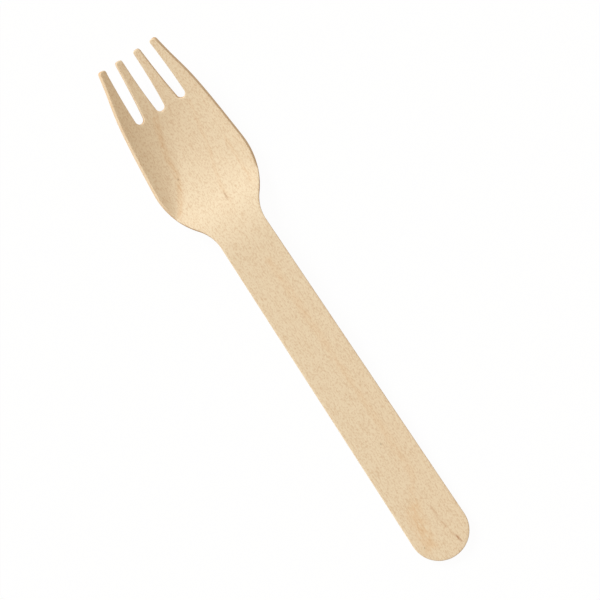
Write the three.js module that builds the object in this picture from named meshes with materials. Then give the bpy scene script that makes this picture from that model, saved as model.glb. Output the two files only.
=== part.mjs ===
// Disposable fork of pressed birch veneer, lying as it comes to rest on a table.
//
// A flat blank with four tines is cut from one sheet of veneer, its edges are
// eased, and the head is then pressed into a shallow dish. The sheet keeps its
// thickness, so the cut edge leans with the walls of the dish.
//
// X runs across the fork, Y along it towards the tines and Z up, in millimetres.
import * as THREE from "three";
import { LoftGeometry } from "three/addons/geometries/LoftGeometry.js";
import { mergeGeometries, mergeVertices } from "three/addons/utils/BufferGeometryUtils.js";

// The sheet
const OVERALL_LENGTH = 160;
const VENEER_THICKNESS = 1.6;
const EDGE_EASE = 0.2;

// Outline of the head, with places along it measured back from the tips
const HEAD_WIDTH = 28.95;
const HEAD_WIDEST_AT = 36.6;
const SHOULDER_RADIUS = 20.8;
const SHOULDER_LEAD_DEG = 5;
const TIP_LINE_WIDTH = 18.4;
const FLANK_LEAN_DEG = 10.3;
const FLANK_PULL_AT_TIP = 13.7;
const FLANK_PULL_AT_SHOULDER = 25.8;
const TIP_ROUNDING = 0.8;

// Outline of the handle
const NECK_WIDTH = 14.3;
const NECK_RADIUS = 11;
const HANDLE_END_WIDTH = 16.4;

// Slots between the tines, each narrowing to a round root
const SLOT_LENGTH = 17.25;
const SLOT_STRAIGHT = 10;
const MIDDLE_SLOT = { mouth: 3.85, root: 2.6, mouthX: 0, rootX: 0 };
const OUTER_SLOT = { mouth: 3.5, root: 2.6, mouthX: 5.68, rootX: 6.94 };

// The press. The floor of the dish drops from the neck, sweeps up again and
// runs straight along the tines. A wall turns up on each side of the floor,
// outside a crease that spreads from the slots to the shoulders.
const DISH_DEPTH = 4;
const DISH_STARTS_AT = 60.5;
const DISH_SWEEP_RADIUS = 74;
const NECK_SWEEP_RADIUS = 54;
const TINE_RISE_DEG = 8;
const RIM_TILT_DEG = 24;
const CREASE_STARTS_AT = 20;
const CREASE_ENDS_AT = 46;

// Facets
const COLUMNS_PER_TINE = 4;
const HANDLE_END_ROWS = 8;
const HANDLE_ROWS = 8;
const HEAD_ROWS = 26;
const ROWS_PER_SLOT_CURVE = 6;
const SAMPLES_PER_EDGE_CURVE = 120;
const NORMAL_STEP = 0.01;
const WELD_DISTANCE = 1e-3;

const { clamp, degToRad, lerp } = THREE.MathUtils;
const Y_AT_SLOT_ROOTS = OVERALL_LENGTH - SLOT_LENGTH;
const Y_AT_DISH_START = OVERALL_LENGTH - DISH_STARTS_AT;

// Height of the dish's floor, at a distance back from the tips, below a handle at 0.
function floorHeight(back) {
  const bothSweeps = DISH_SWEEP_RADIUS + NECK_SWEEP_RADIUS;
  const steepest = Math.acos(1 - DISH_DEPTH / bothSweeps);
  const sweepsMeet = DISH_STARTS_AT - NECK_SWEEP_RADIUS * Math.sin(steepest);
  const lowest = DISH_STARTS_AT - bothSweeps * Math.sin(steepest);
  const rise = degToRad(TINE_RISE_DEG);
  const tinesStart = lowest - DISH_SWEEP_RADIUS * Math.sin(rise);
  const sag = (radius, along) => radius - Math.sqrt(radius * radius - along * along);
  if (back >= DISH_STARTS_AT) return 0;
  if (back >= sweepsMeet) return -sag(NECK_SWEEP_RADIUS, DISH_STARTS_AT - back);
  if (back >= tinesStart) return sag(DISH_SWEEP_RADIUS, back - lowest) - DISH_DEPTH;
  const tineFoot = sag(DISH_SWEEP_RADIUS, tinesStart - lowest) - DISH_DEPTH;
  return tineFoot + (tinesStart - back) * Math.tan(rise);
}

// Height of a side wall above the floor of the dish.
function wallHeight(x, back) {
  const narrowing = (1 - clamp(back / HEAD_WIDEST_AT, 0, 1)) ** 2;
  const rim = lerp(HEAD_WIDTH, TIP_LINE_WIDTH, narrowing) / 2;
  const spread = clamp((back - CREASE_STARTS_AT) / (CREASE_ENDS_AT - CREASE_STARTS_AT), 0, 1);
  const crease = rim * spread * spread;
  const outside = Math.abs(x) - crease;
  if (outside <= 0 || spread === 1) return 0;
  return (Math.tan(degToRad(RIM_TILT_DEG)) * outside * outside) / (2 * (rim - crease));
}

function underside(x, y) {
  const back = OVERALL_LENGTH - y;
  return new THREE.Vector3(x, y, floorHeight(back) + wallHeight(x, back));
}

// Takes a point of the flat sheet, at a height in its thickness, to the pressed
// sheet, square above the same point of the underside.
function pressed({ x, y }, layer) {
  const across = underside(x + NORMAL_STEP, y).sub(underside(x - NORMAL_STEP, y));
  const along = underside(x, y + NORMAL_STEP).sub(underside(x, y - NORMAL_STEP));
  const square = across.cross(along).normalize();
  return underside(x, y).addScaledVector(square, layer);
}

// Places along a path. Each has its point of the outline and, square to the path
// and inside the material, the point where the eased edge meets the faces.
function placesOn(path, rowsPerCurve, materialSide) {
  const curves = path.curves.filter((curve) => curve.getLength() > WELD_DISTANCE);
  const places = [];
  curves.forEach((curve, i) => {
    for (let row = i ? 1 : 0; row <= rowsPerCurve; row++) {
      const outline = curve.getPoint(row / rowsPerCurve);
      const along = curve.getTangent(row / rowsPerCurve);
      const inward = new THREE.Vector2(-along.y, along.x).multiplyScalar(materialSide);
      places.push({ outline, face: outline.clone().addScaledVector(inward, EDGE_EASE) });
    }
  });
  return places;
}

// The place at a height up a list of places that only climb.
function placeAt(places, y) {
  const found = places.findIndex(({ outline }) => outline.y >= y);
  if (found < 1) return places.at(found);
  const [last, next] = [places[found - 1], places[found]];
  const share = (y - last.outline.y) / (next.outline.y - last.outline.y);
  return {
    outline: last.outline.clone().lerp(next.outline, share),
    face: last.face.clone().lerp(next.face, share),
  };
}

const mirrored = ({ outline, face }) => ({
  outline: new THREE.Vector2(-outline.x, outline.y),
  face: new THREE.Vector2(-face.x, face.y),
});

// The right edge of the blank, from the end of the handle up to the first tip.
function blankEdge() {
  const edge = new THREE.Path();
  const endRadius = HANDLE_END_WIDTH / 2;
  edge.absarc(0, endRadius, endRadius, -Math.PI / 2, 0, false);

  const sideStep = (HEAD_WIDTH - NECK_WIDTH) / 2;
  const bothRadii = SHOULDER_RADIUS + NECK_RADIUS;
  const turn = Math.acos(1 - sideStep / bothRadii);
  const widestY = OVERALL_LENGTH - HEAD_WIDEST_AT;
  const neckY = widestY - bothRadii * Math.sin(turn);
  edge.absarc(NECK_WIDTH / 2 + NECK_RADIUS, neckY, NECK_RADIUS, Math.PI, Math.PI - turn, true);

  const lead = degToRad(SHOULDER_LEAD_DEG);
  edge.absarc(HEAD_WIDTH / 2 - SHOULDER_RADIUS, widestY, SHOULDER_RADIUS, -turn, lead, false);

  const lean = degToRad(FLANK_LEAN_DEG);
  const corner = new THREE.Vector2(TIP_LINE_WIDTH / 2, OVERALL_LENGTH);
  const downFlank = new THREE.Vector2(Math.sin(lean), -Math.cos(lean));
  const upShoulder = new THREE.Vector2(-Math.sin(lead), Math.cos(lead));
  const shoulderPull = edge.currentPoint.clone().addScaledVector(upShoulder, FLANK_PULL_AT_SHOULDER);
  const tipPull = corner.clone().addScaledVector(downFlank, FLANK_PULL_AT_TIP);
  const flankEnd = corner.clone().addScaledVector(downFlank, TIP_ROUNDING);
  edge.bezierCurveTo(shoulderPull.x, shoulderPull.y, tipPull.x, tipPull.y, flankEnd.x, flankEnd.y);
  edge.quadraticCurveTo(corner.x, corner.y, corner.x - TIP_ROUNDING, corner.y);
  return placesOn(edge, SAMPLES_PER_EDGE_CURVE, 1);
}

// The wall of a slot on its right, or mirrored on its left, from the middle of
// the round root up to the flat end of the tine beside it.
function slotWall({ mouth, root, mouthX, rootX }, side) {
  const rootRadius = root / 2;
  const wall = new THREE.Path();
  wall.absarc(0, rootRadius - SLOT_LENGTH, rootRadius, -Math.PI / 2, 0, false);
  wall.quadraticCurveTo(mouth / 2, -SLOT_STRAIGHT, mouth / 2, -TIP_ROUNDING);
  wall.quadraticCurveTo(mouth / 2, 0, mouth / 2 + TIP_ROUNDING, 0);
  const slant = (mouthX - rootX) / SLOT_LENGTH;
  const inHead = ({ x, y }) => new THREE.Vector2(side * x + mouthX + slant * y, OVERALL_LENGTH + y);
  const places = placesOn(wall, ROWS_PER_SLOT_CURVE, -1);
  // Both walls start from the same place, on the slot's centre line.
  places[0].outline.x = 0;
  places[0].face.x = 0;
  return places.map(({ outline, face }) => ({
    outline: inHead(outline),
    face: inHead(face),
  }));
}

// A row of points across the sheet between two edges, through lines inside it
// that the columns of facets follow.
function rowAcross(left, lines, right) {
  const bounds = [left.face, ...lines, right.face];
  const row = [];
  for (let i = 1; i < bounds.length; i++)
    for (let column = 0; column < COLUMNS_PER_TINE; column++)
      row.push(bounds[i - 1].clone().lerp(bounds[i], column / COLUMNS_PER_TINE));
  row.push(right.face);
  return row;
}

// The section of the sheet on a row of points, set in from both faces.
function ring(row, left, right, inset = 0) {
  const top = row.map((point) => pressed(point, VENEER_THICKNESS - inset));
  const bottom = row.map((point) => pressed(point, inset));
  const edge = ({ outline }) => [
    pressed(outline, VENEER_THICKNESS - EDGE_EASE),
    pressed(outline, EDGE_EASE),
  ];
  return [...top, ...edge(right), ...bottom.reverse(), ...edge(left).reverse()];
}

// The blunt end beyond a section: its eased rim, then the same rim shut flat.
function endRings(row, left, right) {
  const rim = row.map(({ x }) => new THREE.Vector2(x, right.outline.y));
  const shut = rim.map((point) => pressed(point, EDGE_EASE));
  const [first, last] = [shut[0], shut.at(-1)];
  return [
    ring(rim, left, right, EDGE_EASE),
    [...shut, last, last, ...shut.toReversed(), first, first],
  ];
}

// Heights up the handle and the head at which the body is sectioned, short of
// the roots of the slots.
function bodyRows() {
  const endRadius = HANDLE_END_WIDTH / 2;
  const rows = [];
  for (let row = 0; row < HANDLE_END_ROWS; row++) {
    const turned = ((row + 1 / 2) / HANDLE_END_ROWS) * (Math.PI / 2);
    rows.push(endRadius * (1 - Math.cos(turned)));
  }
  for (let row = 0; row < HANDLE_ROWS; row++)
    rows.push(lerp(endRadius, Y_AT_DISH_START, row / HANDLE_ROWS));
  for (let row = 0; row < HEAD_ROWS; row++)
    rows.push(lerp(Y_AT_DISH_START, Y_AT_SLOT_ROOTS, row / HEAD_ROWS));
  return rows;
}

// Handle and dish, up to the roots of the slots. Its last section is on the very
// points where the tines start, so that they join at any size.
function makeBody(edge, slotRoots, rootPlace) {
  const sections = bodyRows().map((y) => {
    const right = placeAt(edge, y);
    const share = right.face.x / rootPlace.face.x;
    const dropped = (root) => right.face.y + (root.y - rootPlace.face.y) * share;
    const lines = slotRoots.map((root) => new THREE.Vector2(root.x * share, dropped(root)));
    const left = mirrored(right);
    return [rowAcross(left, lines, right), left, right];
  });
  const rootLeft = mirrored(rootPlace);
  sections.push([rowAcross(rootLeft, slotRoots, rootPlace), rootLeft, rootPlace]);
  const rings = sections.map((section) => ring(...section));
  return new LoftGeometry([...endRings(...sections[0]).reverse(), ...rings]);
}

// One tine, from the roots of the slots to its tip.
function makeTine(leftWall, rightWall) {
  const sections = leftWall.map((left, i) => [
    rowAcross(left, [], rightWall[i]),
    left,
    rightWall[i],
  ]);
  const rings = sections.map((section) => ring(...section));
  return new LoftGeometry([...rings, ...endRings(...sections.at(-1))]);
}

// Tips the fork back until the dish and the end of the handle both touch the
// table, and puts the origin on the table under the middle of the fork.
function layDown(fork) {
  const positions = fork.getAttribute("position");
  const points = Array.from({ length: positions.count }, (_, i) =>
    new THREE.Vector3().fromBufferAttribute(positions, i),
  );
  const underneath = points.filter(({ z }) => z <= 0);
  const heelY = Math.min(...underneath.map(({ y }) => y));
  const ahead = underneath.filter(({ y }) => y > heelY);
  const tilt = Math.max(...ahead.map(({ y, z }) => Math.atan2(-z, y - heelY)));
  fork.rotateX(tilt);
  fork.computeBoundingBox();
  const { min, max } = fork.boundingBox;
  return fork.translate(-(min.x + max.x) / 2, -(min.y + max.y) / 2, -min.z);
}

// Welds the lofts along their shared edges and drops the facets that the shut
// ends fold to nothing.
function weld(lofts) {
  const merged = mergeGeometries(lofts);
  merged.deleteAttribute("normal");
  merged.deleteAttribute("uv");
  const welded = mergeVertices(layDown(merged), WELD_DISTANCE);
  const { array } = welded.getIndex();
  const kept = [];
  for (let i = 0; i < array.length; i += 3) {
    const facet = array.slice(i, i + 3);
    if (new Set(facet).size === 3) kept.push(...facet);
  }
  return welded.setIndex(kept);
}

function makeFork() {
  const edge = blankEdge();
  const middleWall = slotWall(MIDDLE_SLOT, 1);
  const innerWall = slotWall(OUTER_SLOT, -1);
  const outerWall = slotWall(OUTER_SLOT, 1);
  const flank = outerWall.map(({ outline }) => placeAt(edge, outline.y));
  const rightTines = [
    [middleWall, innerWall],
    [outerWall, flank],
  ];
  const leftTines = rightTines.map(([left, right]) => [right.map(mirrored), left.map(mirrored)]);
  const slotRoots = [mirrored(outerWall[0]), middleWall[0], outerWall[0]].map(({ face }) => face);
  const tines = [...leftTines, ...rightTines].map(([left, right]) => makeTine(left, right));

  const geometry = weld([makeBody(edge, slotRoots, flank[0]), ...tines]);
  geometry.computeVertexNormals();
  const birch = new THREE.MeshStandardMaterial({ color: 0xe6cbac, roughness: 0.7, metalness: 0 });
  const fork = new THREE.Mesh(geometry, birch);
  fork.name = "fork";
  return fork;
}

const part = new THREE.Group();
part.add(makeFork());

export default part;
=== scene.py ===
"""A disposable fork of pressed birch veneer, lying on a plain white table.

The flat blank is drawn and thickened with its edges eased, as it is when cut from
the sheet, and the press then gives it its dish. Lengths are in metres.
"""

import logging
import math
from collections.abc import Callable
from dataclasses import dataclass, field
from enum import Enum

import bmesh
import bpy
from mathutils import Matrix, Vector

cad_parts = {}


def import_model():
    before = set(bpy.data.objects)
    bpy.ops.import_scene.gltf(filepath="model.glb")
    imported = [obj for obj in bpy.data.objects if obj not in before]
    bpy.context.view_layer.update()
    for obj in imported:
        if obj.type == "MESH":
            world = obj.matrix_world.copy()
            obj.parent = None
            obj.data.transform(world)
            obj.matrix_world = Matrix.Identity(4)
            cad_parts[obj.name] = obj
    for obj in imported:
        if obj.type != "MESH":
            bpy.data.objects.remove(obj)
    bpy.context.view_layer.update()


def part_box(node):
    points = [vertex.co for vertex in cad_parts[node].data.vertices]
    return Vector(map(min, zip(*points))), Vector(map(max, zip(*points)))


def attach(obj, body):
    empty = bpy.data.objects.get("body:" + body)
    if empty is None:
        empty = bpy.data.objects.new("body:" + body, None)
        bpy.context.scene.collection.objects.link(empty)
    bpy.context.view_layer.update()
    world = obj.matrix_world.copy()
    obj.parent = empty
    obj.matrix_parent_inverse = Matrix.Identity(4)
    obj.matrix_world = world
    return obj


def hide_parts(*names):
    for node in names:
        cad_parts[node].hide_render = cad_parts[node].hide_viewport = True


LOG = logging.getLogger("wooden_fork")
MM = 0.001
WHITE = "FFFFFF"
CUT_MARK = "cut_edge"
ROUND_PROFILE = 0.5
# The colour sockets of a Mix node go by number, because they share their names.
MIX_FIRST, MIX_SECOND, MIX_RESULT = 6, 7, 2


def srgb(code: str) -> tuple[float, float, float, float]:
    """Turns an sRGB hex colour to linear light.

    Args:
        code: The colour as six hex digits.

    Returns:
        Linear red, green and blue, and an alpha of 1.
    """
    shares = [int(code[i : i + 2], 16) / 255 for i in (0, 2, 4)]
    # The numbers are those of the sRGB standard's own curve.
    linear = [
        s / 12.92 if s <= 0.04045 else ((s + 0.055) / 1.055) ** 2.4 for s in shares
    ]
    return (linear[0], linear[1], linear[2], 1.0)


def add_node(
    tree: bpy.types.NodeTree,
    kind: str,
    settings: dict[str, object] | None = None,
    inputs: dict[str | int, object] | None = None,
) -> bpy.types.Node:
    """Adds one node to a tree, with its settings and what feeds it.

    Args:
        tree: The tree that takes the node.
        kind: The node's type.
        settings: Values for the node's own properties.
        inputs: For each input, a plain value or the output socket that feeds it.

    Returns:
        The new node.
    """
    node = tree.nodes.new(kind)
    for name, value in (settings or {}).items():
        setattr(node, name, value)
    for name, value in (inputs or {}).items():
        if isinstance(value, bpy.types.NodeSocket):
            tree.links.new(value, node.inputs[name])
        else:
            node.inputs[name].default_value = value
    return node


def shown_share(tree: bpy.types.NodeTree) -> bpy.types.NodeSocket:
    """Parts what is seen, straight or in gloss or glass, from what only gives light.

    Args:
        tree: The tree of a material or of the world.

    Returns:
        1 where the surface is seen, and 0 where it lights a matte one.
    """
    path = add_node(tree, "ShaderNodeLightPath")
    shown = path.outputs["Is Camera Ray"]
    for ray in ("Is Glossy Ray", "Is Transmission Ray"):
        shown = add_node(
            tree,
            "ShaderNodeMath",
            {"operation": "MAXIMUM"},
            {0: shown, 1: path.outputs[ray]},
        ).outputs[0]
    return shown


class Side(Enum):
    """The faces of the sheet."""

    UNDER = 0.0
    TOP = 1.0


class Wall(Enum):
    """The walls of a slot, seen from above with the tips away from the viewer."""

    LEFT = -1
    RIGHT = 1


@dataclass(frozen=True)
class Slot:
    """A slot between two tines, which narrows to a round root.

    The mouth and the root each have a width and a place across the fork. The walls
    between them are curves, pulled straight as far down as ``straight``.
    """

    mouth: float
    root: float
    mouth_x: float
    root_x: float
    length: float = 17.25 * MM
    straight: float = 10 * MM

    @property
    def slant(self) -> float:
        """How far the slot moves across the fork for each metre towards the tips."""
        return (self.mouth_x - self.root_x) / self.length

    @property
    def arc_drop(self) -> float:
        """How far below the tips the round root begins."""
        return self.length - self.root / 2

    def wall(
        self, side: Wall, steps: int, tip_y: float, rounding: float
    ) -> list[tuple[float, float]]:
        """Follows one wall from below the tine's corner down to where the root begins.

        Args:
            side: Which wall of the slot.
            steps: The number of stretches.
            tip_y: Where the tips lie along the fork.
            rounding: How far below the tips the tine's eased corner reaches.

        Returns:
            Points down the wall, from the corner.
        """
        points = []
        for i in range(steps + 1):
            s = i / steps
            half = (1 - s * s) * self.mouth / 2 + s * s * self.root / 2
            drop = (1 - s) ** 2 * rounding + 2 * s * (1 - s) * self.straight
            drop += s * s * self.arc_drop
            x = self.mouth_x - self.slant * drop + side.value * half
            points.append((x, tip_y - drop))
        return points


@dataclass
class Press:
    """The press, which gives the flat blank its dish."""

    length: float = 160 * MM
    head_width: float = 28.95 * MM
    tip_line_width: float = 18.4 * MM
    widest_at: float = 36.6 * MM
    depth: float = 4 * MM
    starts_at: float = 60.5 * MM
    dish_sweep: float = 74 * MM
    neck_sweep: float = 54 * MM
    tine_rise: float = math.radians(8)
    rim_tilt: float = math.radians(24)
    crease_from: float = 20 * MM
    crease_to: float = 46 * MM
    step: float = 0.01 * MM

    def floor_height(self, back: float) -> float:
        """Height of the dish's floor at a distance back from the tips.

        Args:
            back: Distance back from the tips.

        Returns:
            The height against a handle at zero.
        """
        both = self.dish_sweep + self.neck_sweep
        steepest = math.acos(1 - self.depth / both)
        meet = self.starts_at - self.neck_sweep * math.sin(steepest)
        lowest = self.starts_at - both * math.sin(steepest)
        tines = lowest - self.dish_sweep * math.sin(self.tine_rise)

        def sag(radius: float, along: float) -> float:
            """How far an arc leaves its tangent."""
            return radius - math.sqrt(radius * radius - along * along)

        if back >= self.starts_at:
            return 0.0
        if back >= meet:
            return -sag(self.neck_sweep, self.starts_at - back)
        if back >= tines:
            return sag(self.dish_sweep, back - lowest) - self.depth
        foot = sag(self.dish_sweep, tines - lowest) - self.depth
        return foot + (tines - back) * math.tan(self.tine_rise)

    def wall_height(self, x: float, back: float) -> float:
        """Height of a side wall above the floor of the dish.

        Args:
            x: Place across the fork.
            back: Distance back from the tips.

        Returns:
            The height of the wall there.
        """
        narrowing = (1 - min(max(back / self.widest_at, 0), 1)) ** 2
        rim = self.head_width + (self.tip_line_width - self.head_width) * narrowing
        rim /= 2
        spread = (back - self.crease_from) / (self.crease_to - self.crease_from)
        spread = min(max(spread, 0), 1)
        floor_edge = rim * spread * spread
        outside = abs(x) - floor_edge
        if outside <= 0 or spread == 1:
            return 0.0
        return math.tan(self.rim_tilt) * outside * outside / (2 * (rim - floor_edge))

    def underside(self, x: float, y: float) -> Vector:
        """The pressed underside over a point of the blank."""
        back = self.length - y
        return Vector((x, y, self.floor_height(back) + self.wall_height(x, back)))

    def pressed(self, point: Vector) -> Vector:
        """Takes a point of the flat blank to the pressed one.

        Args:
            point: A point whose z is its height in the thickness of the sheet.

        Returns:
            The point as far above the underside, square to it.
        """
        x, y, layer = point
        across = self.underside(x + self.step, y) - self.underside(x - self.step, y)
        along = self.underside(x, y + self.step) - self.underside(x, y - self.step)
        return self.underside(x, y) + across.cross(along).normalized() * layer


@dataclass(frozen=True)
class Streak:
    """A coloured line in the grain, which runs along the fork and wanders a little.

    Its path is a list of places, each with its Y and X in millimetres in the frame
    of the fork, from the handle towards the tines. Its sides fade over the share
    ``soft`` of its half width, and its ends over ``fade_mm``.
    """

    name: str
    path: tuple[tuple[float, float], ...]
    half_width_mm: float
    colour: str
    strength: float
    soft: float = 0.9
    fade_mm: float = 1.2


@dataclass(frozen=True)
class Figure:
    """Patches in the wood, drawn out along the fork and tinted over the pale wood.

    The scale of the pattern is worked out from the width and length of one patch.
    Noise up to ``low`` shows no tint, and noise from ``high`` shows its full strength.
    """

    name: str
    width_mm: float
    length_mm: float
    detail: float
    colour: str
    strength: float
    low: float
    high: float


@dataclass(frozen=True)
class BirchVeneer:
    """Birch veneer, peeled from the log, pressed and lightly sanded, with no finish.

    Peeled birch is pale and even. Soft bands, short fibres and fine pores mottle it
    faintly, and mineral lines show as broken orange or brown streaks. One streak in the
    dish is partly painted shade along the edge of its left wall. The cut edges are a
    little browner, most where the cut crosses the grain.
    """

    name: str = "birch veneer"
    pale: str = "EADABE"
    cut_edge: str = "BC915F"
    roughness: float = 0.75
    ior: float = 1.5
    relief: float = 0.02 * MM
    relief_strength: float = 0.3
    streak_breaks: tuple[float, float] = (0.3, 0.52)
    bands: Figure = Figure(
        name="bands",
        width_mm=6.0,
        length_mm=80.0,
        detail=3.0,
        colour="E4C9A8",
        strength=0.12,
        low=0.38,
        high=0.68,
    )
    # Birch's own fibres and pores are about 0.1 mm wide or less. They would not show
    # in the render, where a pixel is 0.27 mm, so both are drawn wider than a pixel.
    fibres: Figure = Figure(
        name="fibres",
        width_mm=0.3,
        length_mm=2.4,
        detail=3.0,
        colour="C69C70",
        strength=0.26,
        low=0.46,
        high=0.72,
    )
    pores: Figure = Figure(
        name="pores",
        width_mm=0.34,
        length_mm=0.6,
        detail=2.0,
        colour="C1986C",
        strength=0.34,
        low=0.45,
        high=0.68,
    )
    streaks: tuple[Streak, ...] = (
        # Mostly a grain line. Its end towards the handle, where the dish's left wall
        # meets the floor, is painted shade along the wall's edge.
        Streak(
            name="left_grain_line_and_wall_shade",
            path=(
                (36.4, -11.8),
                (41.0, -8.6),
                (45.0, -6.7),
                (52.5, -5.6),
                (62.6, -2.4),
            ),
            half_width_mm=0.75,
            colour="CF9C5F",
            strength=0.26,
        ),
        Streak(
            name="right_grain_line",
            path=((33.0, 1.6), (36.4, 1.9), (48.0, 5.0), (61.0, 7.5)),
            half_width_mm=0.45,
            colour="D3A26C",
            strength=0.16,
        ),
        Streak(
            name="flank_grain_line",
            path=((33.3, 9.6), (48.2, 10.15)),
            half_width_mm=0.4,
            colour="D3A26C",
            strength=0.16,
        ),
        Streak(
            name="neck_dash",
            path=((33.6, 1.5), (35.0, 1.7)),
            half_width_mm=0.24,
            colour="8A5528",
            strength=0.6,
        ),
        Streak(
            name="handle_streak",
            path=(
                (-64.2, -2.7),
                (-58.4, 0.0),
                (-53.6, 2.4),
                (-20.0, 2.1),
                (14.3, 1.7),
            ),
            half_width_mm=0.95,
            colour="DBA96F",
            strength=0.13,
        ),
        Streak(
            name="handle_end_patch",
            path=((-75.4, -4.2), (-65.6, -3.2), (-62.0, -1.8)),
            half_width_mm=2.0,
            colour="DEB27C",
            strength=0.32,
        ),
        Streak(
            name="handle_end_line",
            path=((-75.6, 3.1), (-73.3, 2.4), (-64.8, 1.6)),
            half_width_mm=0.26,
            colour="B57F4A",
            strength=0.32,
        ),
        Streak(
            name="handle_end_mark",
            path=((-77.6, 3.5), (-75.4, 3.1)),
            half_width_mm=0.24,
            colour="9C5A26",
            strength=0.62,
            soft=0.7,
            fade_mm=0.7,
        ),
        Streak(
            name="head_speck",
            path=((44.8, -6.7), (45.2, -6.6)),
            half_width_mm=0.2,
            colour="7D5C3A",
            strength=0.7,
            soft=0.5,
            fade_mm=0.3,
        ),
        Streak(
            name="handle_speck",
            path=((-44.1, -0.3), (-43.7, -0.3)),
            half_width_mm=0.2,
            colour="8C744F",
            strength=0.6,
            soft=0.5,
            fade_mm=0.3,
        ),
        Streak(
            name="handle_end_speck",
            path=((-73.8, -5.9), (-73.4, -5.8)),
            half_width_mm=0.2,
            colour="8C744F",
            strength=0.6,
            soft=0.5,
            fade_mm=0.3,
        ),
    )

    def build(self) -> bpy.types.Material:
        """Makes the material.

        Returns:
            The material, on Object coordinates in metres.
        """
        material = bpy.data.materials.new(self.name)
        material.use_nodes = True
        tree = material.node_tree
        tree.nodes.clear()
        place = add_node(tree, "ShaderNodeTexCoord").outputs["Object"]
        fibres = self.drawn_out(tree, place, self.fibres)
        colour = srgb(self.pale)
        for name, tint, share in self.tints(tree, place, fibres):
            colour = add_node(
                tree,
                "ShaderNodeMix",
                {"data_type": "RGBA", "label": name},
                {"Factor": share, MIX_FIRST: colour, MIX_SECOND: srgb(tint)},
            ).outputs[MIX_RESULT]
        bump = add_node(
            tree,
            "ShaderNodeBump",
            inputs={
                "Height": fibres,
                "Strength": self.relief_strength,
                "Distance": self.relief,
            },
        )
        shader = add_node(
            tree,
            "ShaderNodeBsdfPrincipled",
            inputs={
                "Base Color": colour,
                "Roughness": self.roughness,
                "IOR": self.ior,
                "Normal": bump.outputs["Normal"],
            },
        )
        add_node(
            tree,
            "ShaderNodeOutputMaterial",
            inputs={"Surface": shader.outputs["BSDF"]},
        )
        return material

    def tints(
        self,
        tree: bpy.types.NodeTree,
        place: bpy.types.NodeSocket,
        fibres: bpy.types.NodeSocket,
    ) -> list[tuple[str, str, bpy.types.NodeSocket]]:
        """Gathers what tints the pale wood: figures, streaks and the cut edges.

        Args:
            tree: The material's tree.
            place: Object coordinates.
            fibres: The fibres' noise.

        Returns:
            For each tint, its name, its colour and how much of it shows.
        """
        axes = add_node(tree, "ShaderNodeSeparateXYZ", inputs={"Vector": place})
        patterns = (
            (self.bands, self.drawn_out(tree, place, self.bands)),
            (self.fibres, fibres),
            (self.pores, self.drawn_out(tree, place, self.pores)),
        )
        tints = []
        for figure, noise in patterns:
            share = add_node(
                tree,
                "ShaderNodeMapRange",
                {"interpolation_type": "SMOOTHSTEP"},
                {
                    "Value": noise,
                    "From Min": figure.low,
                    "From Max": figure.high,
                    "To Max": figure.strength,
                },
            ).outputs["Result"]
            tints.append((figure.name, figure.colour, share))
        for streak in self.streaks:
            share = self.streak_share(tree, axes, fibres, streak)
            tints.append((streak.name, streak.colour, share))
        cut = add_node(tree, "ShaderNodeAttribute", {"attribute_name": CUT_MARK})
        tints.append(("cut edge", self.cut_edge, cut.outputs["Fac"]))
        return tints

    def drawn_out(
        self, tree: bpy.types.NodeTree, place: bpy.types.NodeSocket, figure: Figure
    ) -> bpy.types.NodeSocket:
        """A figure's patches, drawn out along the fibres.

        Args:
            tree: The material's tree.
            place: Object coordinates.
            figure: The figure.

        Returns:
            Noise about 0.5 on average.
        """
        across, along = 1 / (figure.width_mm * MM), 1 / (figure.length_mm * MM)
        mapping = add_node(
            tree,
            "ShaderNodeMapping",
            inputs={"Vector": place, "Scale": (across, along, across)},
        )
        return add_node(
            tree,
            "ShaderNodeTexNoise",
            inputs={
                "Vector": mapping.outputs["Vector"],
                "Scale": 1.0,
                "Detail": figure.detail,
            },
        ).outputs["Fac"]

    def streak_share(
        self,
        tree: bpy.types.NodeTree,
        axes: bpy.types.Node,
        fibres: bpy.types.NodeSocket,
        streak: Streak,
    ) -> bpy.types.NodeSocket:
        """How much of a streak shows at each place.

        Args:
            tree: The material's tree.
            axes: The node that gives X and Y.
            fibres: The fibres' noise, which breaks the streak up.
            streak: The streak.

        Returns:
            The streak's strength where it lies, and 0 away from it.
        """
        first, last = streak.path[0][0] * MM, streak.path[-1][0] * MM
        low = min(x for _, x in streak.path) * MM
        high = max(x for _, x in streak.path) * MM
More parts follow.
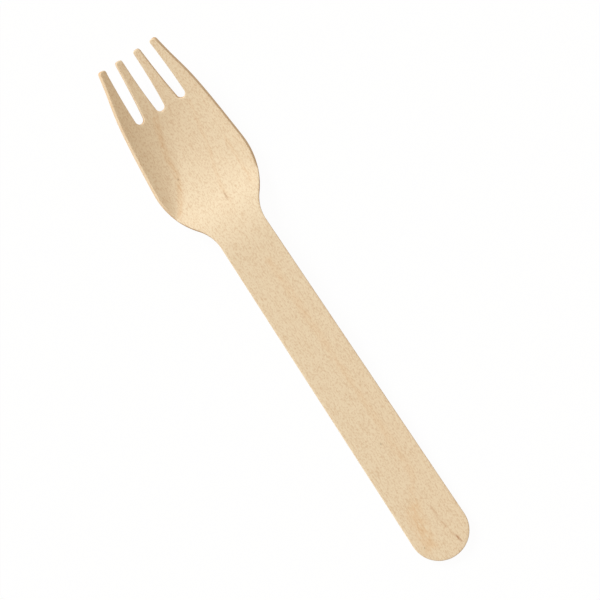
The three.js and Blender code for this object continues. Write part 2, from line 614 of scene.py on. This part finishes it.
        # A straight streak still needs some width for its path to lie in.
        spread = max(high - low, MM)
        along = add_node(
            tree,
            "ShaderNodeMapRange",
            inputs={"Value": axes.outputs["Y"], "From Min": first, "From Max": last},
        ).outputs["Result"]
        path = add_node(tree, "ShaderNodeFloatCurve", inputs={"Value": along})
        curve = path.mapping.curves[0]
        wanted = [
            ((y * MM - first) / (last - first), (x * MM - low) / spread)
            for y, x in streak.path
        ]
        curve.points[0].location = wanted[0]
        curve.points[1].location = wanted[-1]
        for spot in wanted[1:-1]:
            curve.points.new(*spot)
        path.mapping.update()
        centre = add_node(
            tree,
            "ShaderNodeMapRange",
            inputs={
                "Value": path.outputs["Value"],
                "To Min": low,
                "To Max": low + spread,
            },
        ).outputs["Result"]
        off = add_node(
            tree,
            "ShaderNodeMath",
            {"operation": "SUBTRACT"},
            {0: axes.outputs["X"], 1: centre},
        ).outputs[0]
        off = add_node(
            tree, "ShaderNodeMath", {"operation": "ABSOLUTE"}, {0: off}
        ).outputs[0]
        width, fade = streak.half_width_mm * MM, streak.fade_mm * MM
        y = axes.outputs["Y"]
        limits = (
            (off, width * (1 + streak.soft), width * (1 - streak.soft)),
            (y, first - fade, first + fade),
            (y, last + fade, last - fade),
            (fibres, *self.streak_breaks),
        )
        shown = streak.strength
        for value, nothing, whole in limits:
            shown = add_node(
                tree,
                "ShaderNodeMapRange",
                {"interpolation_type": "SMOOTHSTEP"},
                {
                    "Value": value,
                    "From Min": nothing,
                    "From Max": whole,
                    "To Max": shown,
                },
            ).outputs["Result"]
        return shown


@dataclass
class VeneerFork:
    """The fork: a handle, a waisted neck, and a dish that ends in tines."""

    press: Press = field(default_factory=Press)
    thickness: float = 1.6 * MM
    ease: float = 0.2 * MM
    shoulder_radius: float = 20.8 * MM
    shoulder_lead: float = math.radians(5)
    flank_lean: float = math.radians(10.3)
    flank_pull_at_tip: float = 13.7 * MM
    flank_pull_at_shoulder: float = 25.8 * MM
    tip_rounding: float = 0.8 * MM
    neck_width: float = 14.3 * MM
    neck_radius: float = 11 * MM
    handle_end_width: float = 16.4 * MM
    middle_slot: Slot = Slot(mouth=3.85 * MM, root=2.6 * MM, mouth_x=0.0, root_x=0.0)
    outer_slot: Slot = Slot(
        mouth=3.5 * MM, root=2.6 * MM, mouth_x=5.68 * MM, root_x=6.94 * MM
    )
    # The number of stretches in each curve.
    end_steps: int = 128
    neck_steps: int = 24
    shoulder_steps: int = 40
    flank_steps: int = 60
    corner_steps: int = 8
    wall_steps: int = 30
    root_quarter_steps: int = 12
    ease_steps: int = 3
    cut_spacing: float = 0.8 * MM
    # Shares of the spacing that keep the cuts off the fork's ends and middle line.
    row_offset: float = 0.37
    column_offset: float = 0.5
    weld: float = 0.002 * MM
    cut_tolerance: float = 0.0002 * MM
    # How much of the cut edges' colour shows where the cut follows the grain.
    side_mark: float = 0.2
    # Points nearer the heel than this don't count towards the tilt.
    heel_reach: float = 5 * MM
    smooth_angle: float = math.radians(40)
    finish: BirchVeneer = BirchVeneer()

    def build(self) -> bpy.types.Object:
        """Makes and dresses the fork.

        Returns:
            The finished piece, in the frame of the row.
        """
        piece = self.draw_half_outline()
        self.mirror_and_fill(piece)
        self.thicken_and_ease(piece)
        self.cut_for_pressing(piece)
        self.mark_cut_edges(piece)
        self.press_blank(piece)
        self.lay_down(piece)
        piece.data.materials.clear()
        piece.data.materials.append(self.finish.build())
        return piece

    def mark_cut_edges(self, piece: bpy.types.Object) -> None:
        """Marks the cut edges of the flat blank, most where the cut crosses the grain.

        Args:
            piece: The flat blank, thickened and cut into small faces.
        """
        mark = piece.data.attributes.new(CUT_MARK, "FLOAT", "FACE")
        for face, spot in zip(piece.data.polygons, mark.data):
            share = self.side_mark + (1 - self.side_mark) * abs(face.normal.y)
            spot.value = (1 - abs(face.normal.z)) * share

    def draw_half_outline(self) -> bpy.types.Object:
        """Draws the right half of the blank's outline.

        Returns:
            An object that holds an open line of edges, from the end of the handle
            round to the root of the middle slot.
        """
        end_radius = self.handle_end_width / 2
        bpy.ops.object.select_all(action="DESELECT")
        bpy.ops.mesh.primitive_circle_add(
            vertices=self.end_steps, radius=end_radius, location=(0, end_radius, 0)
        )
        piece = bpy.context.object
        piece.name = "veneer_fork"
        bpy.ops.object.transform_apply(location=True, rotation=False, scale=False)
        bpy.ops.object.mode_set(mode="EDIT")
        bpy.ops.mesh.select_mode(type="VERT")
        self.select(piece, lambda v: v.x < -self.weld or v.y > end_radius + self.weld)
        bpy.ops.mesh.delete(type="VERT")
        self.select(piece, lambda v: v.y > end_radius - self.weld)

        press = self.press
        side_step = (press.head_width - self.neck_width) / 2
        both_radii = self.shoulder_radius + self.neck_radius
        turn = math.acos(1 - side_step / both_radii)
        widest_y = press.length - press.widest_at
        neck_y = widest_y - both_radii * math.sin(turn)
        handle_side = Vector((end_radius, end_radius))
        here = self.line(handle_side, [(self.neck_width / 2, neck_y)])
        centre = Vector((self.neck_width / 2 + self.neck_radius, neck_y))
        here = self.arc(here, centre, -turn, self.neck_steps)
        centre = Vector((press.head_width / 2 - self.shoulder_radius, widest_y))
        here = self.arc(here, centre, turn + self.shoulder_lead, self.shoulder_steps)

        corner = Vector((press.tip_line_width / 2, press.length))
        down = Vector((math.sin(self.flank_lean), -math.cos(self.flank_lean)))
        up = Vector((-math.sin(self.shoulder_lead), math.cos(self.shoulder_lead)))
        pulls = (
            here + up * self.flank_pull_at_shoulder,
            corner + down * self.flank_pull_at_tip,
        )
        flank_end = corner + down * self.tip_rounding
        flank = self.bezier(here, *pulls, flank_end, self.flank_steps)
        here = self.line(here, flank)
        here = self.line(here, self.rounding(corner, down, Vector((-1, 0))))
        here = self.slot_outline(here, self.outer_slot)
        self.tine_corner_into(here, self.middle_slot)
        bpy.ops.object.mode_set(mode="OBJECT")
        return piece

    def slot_outline(self, here: Vector, slot: Slot) -> Vector:
        """Draws a whole slot, down one wall, round the root and up the other.

        Args:
            here: Where the line ends now, on the tip beside the slot.
            slot: The slot.

        Returns:
            Where the line ends, on the tip across the slot.
        """
        tip_y = self.press.length
        here = self.tine_corner_into(here, slot, whole=True)
        wall = slot.wall(Wall.LEFT, self.wall_steps, tip_y, self.tip_rounding)
        here = self.line(here, wall[::-1][1:])
        corner = Vector((slot.mouth_x - slot.mouth / 2, tip_y))
        down, left = Vector((0, -1)), Vector((-1, 0))
        return self.line(here, self.rounding(corner, down, left, skip_first=True))

    def tine_corner_into(self, here: Vector, slot: Slot, whole: bool = False) -> Vector:
        """Draws a tine's corner, the right wall of a slot and its round root.

        Args:
            here: Where the line ends now.
            slot: The slot.
            whole: Whether the root goes all the way round to the left wall.

        Returns:
            Where the line ends.
        """
        tip_y = self.press.length
        corner = Vector((slot.mouth_x + slot.mouth / 2, tip_y))
        down, right = Vector((0, -1)), Vector((1, 0))
        here = self.line(here, self.rounding(corner, down, right)[::-1])
        wall = slot.wall(Wall.RIGHT, self.wall_steps, tip_y, self.tip_rounding)
        here = self.line(here, wall[1:])
        centre = Vector((here.x - slot.root / 2, here.y))
        quarters = 2 if whole else 1
        turn = -quarters * math.pi / 2
        return self.arc(here, centre, turn, quarters * self.root_quarter_steps)

    def rounding(
        self, corner: Vector, one: Vector, other: Vector, skip_first: bool = False
    ) -> list[tuple[float, float]]:
        """Points round an eased corner.

        Args:
            corner: The corner before it is eased.
            one: Direction away from it along one side.
            other: Direction away from it along the other side.
            skip_first: Whether the first point, on the first side, is left out.

        Returns:
            The points, from the first side to the other.
        """
        start = corner + one * self.tip_rounding
        end = corner + other * self.tip_rounding
        points = []
        for i in range(1 if skip_first else 0, self.corner_steps + 1):
            s = i / self.corner_steps
            point = start * (1 - s) ** 2 + corner * (2 * s * (1 - s)) + end * (s * s)
            points.append((point.x, point.y))
        return points

    def bezier(
        self, start: Vector, first: Vector, second: Vector, end: Vector, steps: int
    ) -> list[tuple[float, float]]:
        """Points along a cubic curve, without its start.

        Args:
            start: Where the curve starts.
            first: The point that pulls on its start.
            second: The point that pulls on its end.
            end: Where it ends.
            steps: The number of stretches.

        Returns:
            The points.
        """
        points = []
        for i in range(1, steps + 1):
            s = i / steps
            r = 1 - s
            point = (
                start * r**3
                + first * (3 * r * r * s)
                + second * (3 * r * s * s)
                + end * s**3
            )
            points.append((point.x, point.y))
        return points

    def select(self, piece: bpy.types.Object, wanted: Callable[[Vector], bool]) -> None:
        """Selects the vertices that a test picks, in edit mode.

        Args:
            piece: The piece, in edit mode.
            wanted: The test, given each vertex's place.
        """
        mesh = bmesh.from_edit_mesh(piece.data)
        for vertex in mesh.verts:
            vertex.select = bool(wanted(vertex.co))
        mesh.select_flush_mode()
        bmesh.update_edit_mesh(piece.data)

    def line(self, here: Vector, points: list[tuple[float, float]]) -> Vector:
        """Extrudes the end of the line through points.

        Args:
            here: Where the line ends now.
            points: The places to go through, across and along the fork.

        Returns:
            Where the line ends.
        """
        for x, y in points:
            step = Vector((x - here.x, y - here.y))
            if step.length < self.weld:
                continue
            bpy.ops.mesh.extrude_region_move(
                TRANSFORM_OT_translate={"value": (step.x, step.y, 0)}
            )
            here = here + step
        return here

    def arc(self, here: Vector, centre: Vector, angle: float, steps: int) -> Vector:
        """Spins the end of the line round a centre. The operator turns clockwise.

        Args:
            here: Where the line ends now.
            centre: The centre of the arc.
            angle: How far it turns, anticlockwise seen from above.
            steps: The number of stretches.

        Returns:
            Where the line ends.
        """
        bpy.ops.mesh.spin(
            steps=steps, angle=-angle, center=(centre.x, centre.y, 0), axis=(0, 0, 1)
        )
        turned = Matrix.Rotation(angle, 2) @ (here - centre)
        return centre + turned

    def mirror_and_fill(self, piece: bpy.types.Object) -> None:
        """Mirrors the half outline and fills it with one face.

        Args:
            piece: The piece, which holds the right half of the outline.
        """
        mirror = piece.modifiers.new("both halves", "MIRROR")
        mirror.merge_threshold = self.weld
        bpy.ops.object.modifier_apply(modifier=mirror.name)
        bpy.ops.object.mode_set(mode="EDIT")
        bpy.ops.mesh.select_all(action="SELECT")
        bpy.ops.mesh.remove_doubles(threshold=self.weld)
        bpy.ops.mesh.select_all(action="SELECT")
        bpy.ops.mesh.edge_face_add()
        bpy.ops.object.mode_set(mode="OBJECT")

    def thicken_and_ease(self, piece: bpy.types.Object) -> None:
        """Gives the blank its thickness and rounds the cut edges a little.

        Args:
            piece: The piece, which holds the blank as one flat face.
        """
        bpy.ops.object.mode_set(mode="EDIT")
        bpy.ops.mesh.select_all(action="SELECT")
        bpy.ops.mesh.extrude_region_move(
            TRANSFORM_OT_translate={"value": (0, 0, self.thickness)}
        )
        bpy.ops.mesh.select_all(action="SELECT")
        bpy.ops.mesh.normals_make_consistent(inside=False)
        bpy.ops.mesh.select_mode(type="EDGE")
        mesh = bmesh.from_edit_mesh(piece.data)
        levels = [side.value * self.thickness for side in Side]
        for edge in mesh.edges:
            heights = [v.co.z for v in edge.verts]
            edge.select = any(
                all(abs(z - level) < self.weld for z in heights) for level in levels
            )
        mesh.select_flush_mode()
        bmesh.update_edit_mesh(piece.data)
        bpy.ops.mesh.bevel(
            offset=self.ease,
            segments=self.ease_steps,
            profile=ROUND_PROFILE,
            affect="EDGES",
        )
        bpy.ops.object.mode_set(mode="OBJECT")

    def cut_for_pressing(self, piece: bpy.types.Object) -> None:
        """Cuts the flat blank into small faces, so that it can bend.

        The handle is cut as well, because the rounded look of its edge would
        otherwise spread along faces as long as the handle.

        Args:
            piece: The flat blank.
        """
        bpy.ops.object.mode_set(mode="EDIT")
        bpy.ops.mesh.select_mode(type="FACE")
        rows = int(self.press.length / self.cut_spacing)
        for i in range(rows):
            y = (i + self.row_offset) * self.cut_spacing
            self.bisect((0, y, 0), (0, 1, 0))
        columns = int(self.press.head_width / 2 / self.cut_spacing)
        for i in range(-columns, columns + 1):
            x = (i + self.column_offset) * self.cut_spacing
            self.bisect((x, 0, 0), (1, 0, 0))
        bpy.ops.object.mode_set(mode="OBJECT")

    def bisect(self, place: tuple[float, ...], square: tuple[float, ...]) -> None:
        """Cuts every face along one plane.

        Args:
            place: A point on the plane.
            square: The direction square to it.
        """
        bpy.ops.mesh.select_all(action="SELECT")
        bpy.ops.mesh.bisect(
            plane_co=place, plane_no=square, threshold=self.cut_tolerance
        )

    def press_blank(self, piece: bpy.types.Object) -> None:
        """Bends the blank. No operator makes this form, so its points are moved."""
        for vertex in piece.data.vertices:
            vertex.co = self.press.pressed(vertex.co)

    def lay_down(self, piece: bpy.types.Object) -> None:
        """Rests the fork on its dish and the end of its handle, where the row has it.

        Args:
            piece: The pressed fork.
        """
        points = [v.co.copy() for v in piece.data.vertices if v.co.z <= self.weld]
        heel_y = min(p.y for p in points)
        ahead = [p for p in points if p.y > heel_y + self.heel_reach]
        tilt = max(math.atan2(-p.z, p.y - heel_y) for p in ahead)
        piece.data.transform(Matrix.Rotation(tilt, 4, "X"))
        low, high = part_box("fork")
        ys = [v.co.y for v in piece.data.vertices]
        zs = [v.co.z for v in piece.data.vertices]
        to_middle = (low.y + high.y) / 2 - (min(ys) + max(ys)) / 2
        shift = Vector((0, to_middle, low.z - min(zs)))
        piece.data.transform(Matrix.Translation(shift))
        bpy.ops.object.select_all(action="DESELECT")
        piece.select_set(True)
        bpy.context.view_layer.objects.active = piece
        bpy.ops.object.shade_smooth_by_angle(angle=self.smooth_angle)
        piece.data.update()


@dataclass(frozen=True)
class WhiteTable:
    """A smooth white table that shows as plain white, with a faint shadow."""

    name: str = "white table"
    size: float = 3.0
    colour: str = "FAFAFA"
    plain_share: float = 0.965

    def build(self) -> bpy.types.Object:
        """Makes the table under the fork.

        Returns:
            The table.
        """
        bpy.ops.object.select_all(action="DESELECT")
        bpy.ops.mesh.primitive_plane_add(size=self.size, location=(0, 0, 0))
        table = bpy.context.object
        table.name = "table"
        material = bpy.data.materials.new(self.name)
        material.use_nodes = True
        tree = material.node_tree
        tree.nodes.clear()
        matte = add_node(
            tree,
            "ShaderNodeBsdfDiffuse",
            inputs={"Color": srgb(self.colour)},
        )
        white = add_node(tree, "ShaderNodeEmission", inputs={"Color": srgb(WHITE)})
        share = add_node(
            tree,
            "ShaderNodeMath",
            {"operation": "MULTIPLY"},
            {0: shown_share(tree), 1: self.plain_share},
        )
        mixed = add_node(
            tree,
            "ShaderNodeMixShader",
            inputs={0: share.outputs[0], 1: matte.outputs[0], 2: white.outputs[0]},
        )
        add_node(tree, "ShaderNodeOutputMaterial", inputs={"Surface": mixed.outputs[0]})
        table.data.materials.append(material)
        return table


@dataclass(frozen=True)
class Studio:
    """A far soft light beyond the tines, and a camera almost straight above."""

    turn: float = math.radians(33.41)
    seen_from_left: float = math.radians(2.0)
    lens_mm: float = 135.0
    sensor_mm: float = 36.0
    frame_width: float = 160.27 * MM
    aim: tuple[float, float, float] = (2.83 * MM, 0.16 * MM, 3 * MM)
    light_towards: tuple[float, float] = (-0.423, 0.906)
    light_elevation: float = math.radians(28)
    light_spread: float = math.radians(25)
    light_strength: float = 3.65
    light_colour: str = "EEF8FF"
    surround: str = "FFE7C8"
    ambient: float = 0.53

    def build(self) -> None:
        """Makes the camera, the light and the surroundings."""
        self.make_camera()
        self.make_light()
        self.make_surroundings()
        bpy.context.scene.view_settings.view_transform = "Standard"

    def make_surroundings(self) -> None:
        """Makes the surroundings, which light the fork warmly and are seen as white."""
        world = bpy.data.worlds.new("studio")
        bpy.context.scene.world = world
        world.use_nodes = True
        tree = world.node_tree
        tree.nodes.clear()
        warm = add_node(
            tree,
            "ShaderNodeBackground",
            inputs={"Color": srgb(self.surround), "Strength": self.ambient},
        )
        white = add_node(tree, "ShaderNodeBackground", inputs={"Color": srgb(WHITE)})
        mixed = add_node(
            tree,
            "ShaderNodeMixShader",
            inputs={0: shown_share(tree), 1: warm.outputs[0], 2: white.outputs[0]},
        )
        add_node(tree, "ShaderNodeOutputWorld", inputs={"Surface": mixed.outputs[0]})

    def make_camera(self) -> None:
        """Hangs the camera over the fork, turned so that the fork lies aslant."""
        data = bpy.data.cameras.new("camera")
        data.lens = self.lens_mm
        data.sensor_width = self.sensor_mm
        camera = bpy.data.objects.new("camera", data)
        bpy.context.scene.collection.objects.link(camera)
        distance = self.frame_width * self.lens_mm / self.sensor_mm
        lean = self.seen_from_left
        back = Vector((-math.sin(lean), 0, math.cos(lean)))
        up = Vector((math.sin(self.turn), math.cos(self.turn), 0))
        right = up.cross(back).normalized()
        up = back.cross(right).normalized()
        place = Vector(self.aim) + back * distance
        camera.matrix_world = Matrix(
            (
                (right.x, up.x, back.x, place.x),
                (right.y, up.y, back.y, place.y),
                (right.z, up.z, back.z, place.z),
                (0, 0, 0, 1),
            )
        )
        bpy.context.scene.camera = camera

    def make_light(self) -> None:
        """Sets the soft light. It is far off, so that the handle is lit evenly."""
        data = bpy.data.lights.new("soft light", "SUN")
        data.angle = self.light_spread
        data.energy = self.light_strength
        data.color = srgb(self.light_colour)[:3]
        light = bpy.data.objects.new("soft light", data)
        bpy.context.scene.collection.objects.link(light)
        level = math.cos(self.light_elevation)
        flat = Vector((*self.light_towards, 0)).normalized() * level
        towards = flat + Vector((0, 0, math.sin(self.light_elevation)))
        light.rotation_euler = towards.to_track_quat("Z", "Y").to_euler()


def main() -> None:
    """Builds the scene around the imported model."""
    logging.basicConfig(level=logging.INFO, format="%(message)s")
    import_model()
    Studio().build()
    fork = VeneerFork().build()
    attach(fork, "root")
    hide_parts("fork")
    LOG.info("%s: %d faces", fork.name, len(fork.data.polygons))
    table = WhiteTable().build()
    LOG.info("%s: the table", table.name)


if __name__ == "__main__":
    main()
